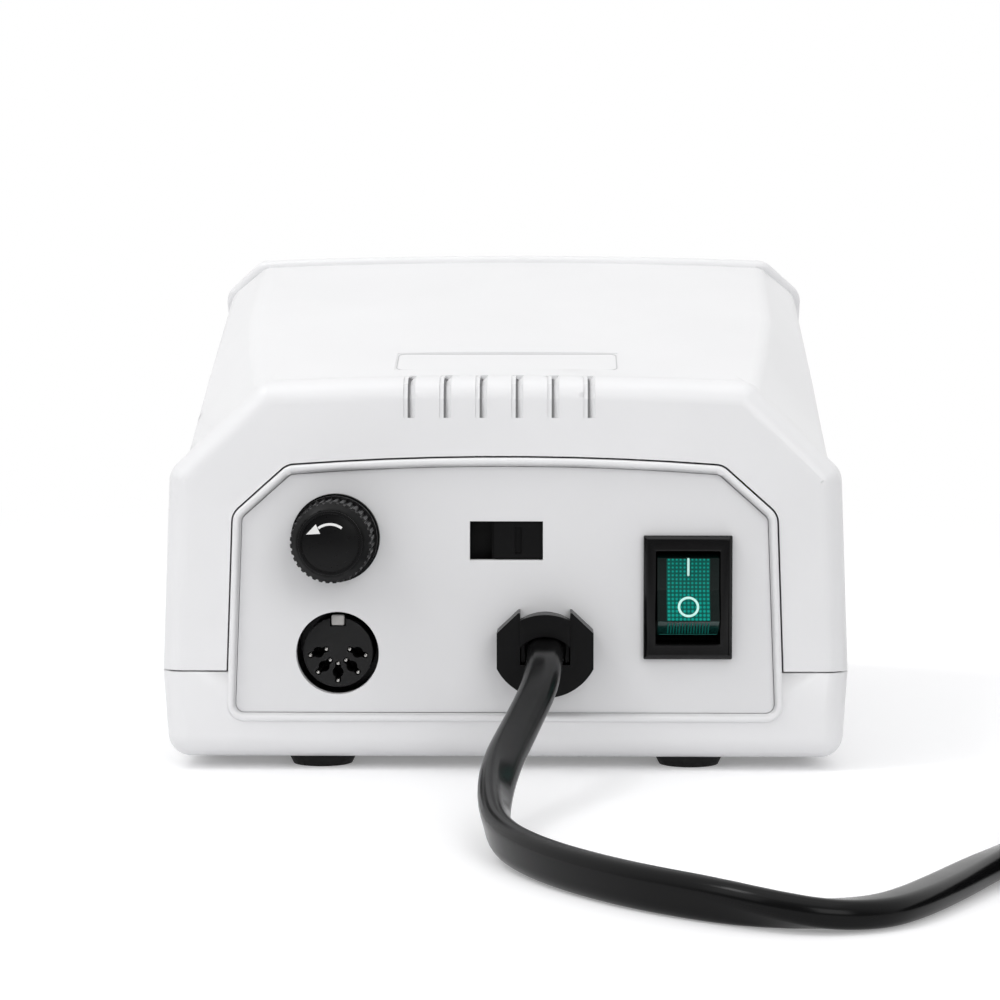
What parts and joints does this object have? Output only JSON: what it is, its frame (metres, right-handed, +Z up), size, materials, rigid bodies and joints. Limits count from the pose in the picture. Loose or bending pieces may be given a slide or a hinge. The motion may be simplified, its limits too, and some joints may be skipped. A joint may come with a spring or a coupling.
{
  "type": "nail drill control unit",
  "caption": "Desk control unit of a nail drill: sloping case with speed knob, rocker switches, fuse holder, pedal and handpiece sockets, voltage selector and mains cord.",
  "frame": {"origin": "on the table, under the middle of the unit's own box, cord left out", "axes": "+Z up, -Y out of the back with the cord entry, +Y out of the control panel"},
  "size_m": [0.2233, 0.2771, 0.0896],
  "materials": {
    "case_white": "fine satin",
    "panel_white": "fine satin",
    "black_plastic": "moulded, satin",
    "black_gloss": "moulded, glossy",
    "green_lens": "clear green, ribbed inside",
    "red_lens": "clear red",
    "knob_grey": "satin",
    "foot_rubber": "matt",
    "cord_black": "smooth, slightly glossy",
    "bright_steel": "bright plated",
    "dark_shell": "blackened",
    "brass_contacts": "bright",
    "clear_glass": "clear",
    "core_steel": "varnished laminations",
    "winding_tape": "yellow film tape",
    "board_green": "solder mask",
    "sink_aluminium": "extruded",
    "can_sleeve": "shrunk sleeve",
    "connector_white": "nylon"
  },
  "bodies": {
    "case": {"top_cover": "case_white", "bottom_cover": "case_white", "rear_panel": "panel_white", "front_panel": "panel_white", "rubber_feet": "foot_rubber", "case_screws": "bright_steel", "panel_screws": "bright_steel", "fuse_holder_body": "black_plastic", "fuse_holder_nut": "black_plastic", "fuse_spring": "bright_steel", "fuse_terminals": "brass_contacts", "pedal_socket_shell": "dark_shell", "pedal_socket_insert": "black_plastic", "pedal_socket_contacts": "bright_steel", "selector_housing": "black_plastic", "selector_terminals": "brass_contacts", "strain_relief_base": "black_plastic", "strain_relief_clamp": "black_plastic", "power_switch_housing": "black_gloss", "power_switch_terminals": "brass_contacts", "power_switch_lamp": "clear_glass", "direction_switch_housing": "black_gloss", "mode_switch_housing": "black_gloss", "speed_pot_body": "bright_steel", "speed_pot_nut": "bright_steel", "handpiece_socket_shell": "bright_steel", "handpiece_socket_insert": "black_plastic", "handpiece_socket_pins": "brass_contacts", "handpiece_socket_nut": "bright_steel", "indicator_bezel": "bright_steel", "power_indicator": "red_lens", "transformer_core": "core_steel", "transformer_winding": "winding_tape", "transformer_frame": "bright_steel", "transformer_screws": "bright_steel", "circuit_board": "board_green", "board_screws": "bright_steel", "heat_sink": "sink_aluminium", "power_transistor": "black_plastic", "filter_capacitors": "can_sleeve", "bridge_rectifier": "black_plastic", "board_connectors": "connector_white", "mains_leads": "cord_black", "power_cord": "cord_black", "cord_coil": "cord_black", "cord_tail": "cord_black", "plug_body": "cord_black", "plug_pins": "bright_steel"},
    "power_rocker_body": {"power_rocker": "green_lens"},
    "selector_body": {"selector_slider": "black_plastic"},
    "fuse_carrier": {"fuse_glass": "clear_glass", "fuse_end_caps": "bright_steel"},
    "fuse_cap_body": {"fuse_cap": "black_plastic"},
    "speed_control": {"speed_knob": "knob_grey", "speed_pot_shaft": "bright_steel"},
    "direction_rocker_body": {"direction_rocker": "black_gloss"},
    "mode_rocker_body": {"mode_rocker": "black_gloss"}
  },
  "joints": [
    {"name": "power_rocker_tilt", "type": "hinge", "parent": "case", "child": "power_rocker_body", "pos_m": [0.031, -0.0638, 0.0298], "axis": [1, 0, 0], "range_deg": [0, 22]},
    {"name": "selector_slide", "type": "slide", "parent": "case", "child": "selector_body", "axis": [-1, 0, 0], "range_m": [0, 0.004]},
    {"name": "fuse_carrier_pull", "type": "slide", "parent": "case", "child": "fuse_carrier", "axis": [0, -1, 0], "range_m": [0, 0.028]},
    {"name": "fuse_cap_turn", "type": "hinge", "parent": "fuse_carrier", "child": "fuse_cap_body", "pos_m": [-0.0286, -0.069, 0.0398], "axis": [0, 1, 0], "range_deg": [0, 90]},
    {"name": "speed_knob_turn", "type": "hinge", "parent": "case", "child": "speed_control", "pos_m": [0, 0.05458, 0.05483], "axis": [0, -0.852, -0.5236], "range_deg": [0, 300]},
    {"name": "direction_rocker_tilt", "type": "hinge", "parent": "case", "child": "direction_rocker_body", "pos_m": [-0.034, 0.04517, 0.06079], "axis": [-1, 0, 0], "range_deg": [0, 22]},
    {"name": "mode_rocker_tilt", "type": "hinge", "parent": "case", "child": "mode_rocker_body", "pos_m": [-0.034, 0.0593, 0.03778], "axis": [1, 0, 0], "range_deg": [0, 22]}
  ]
}
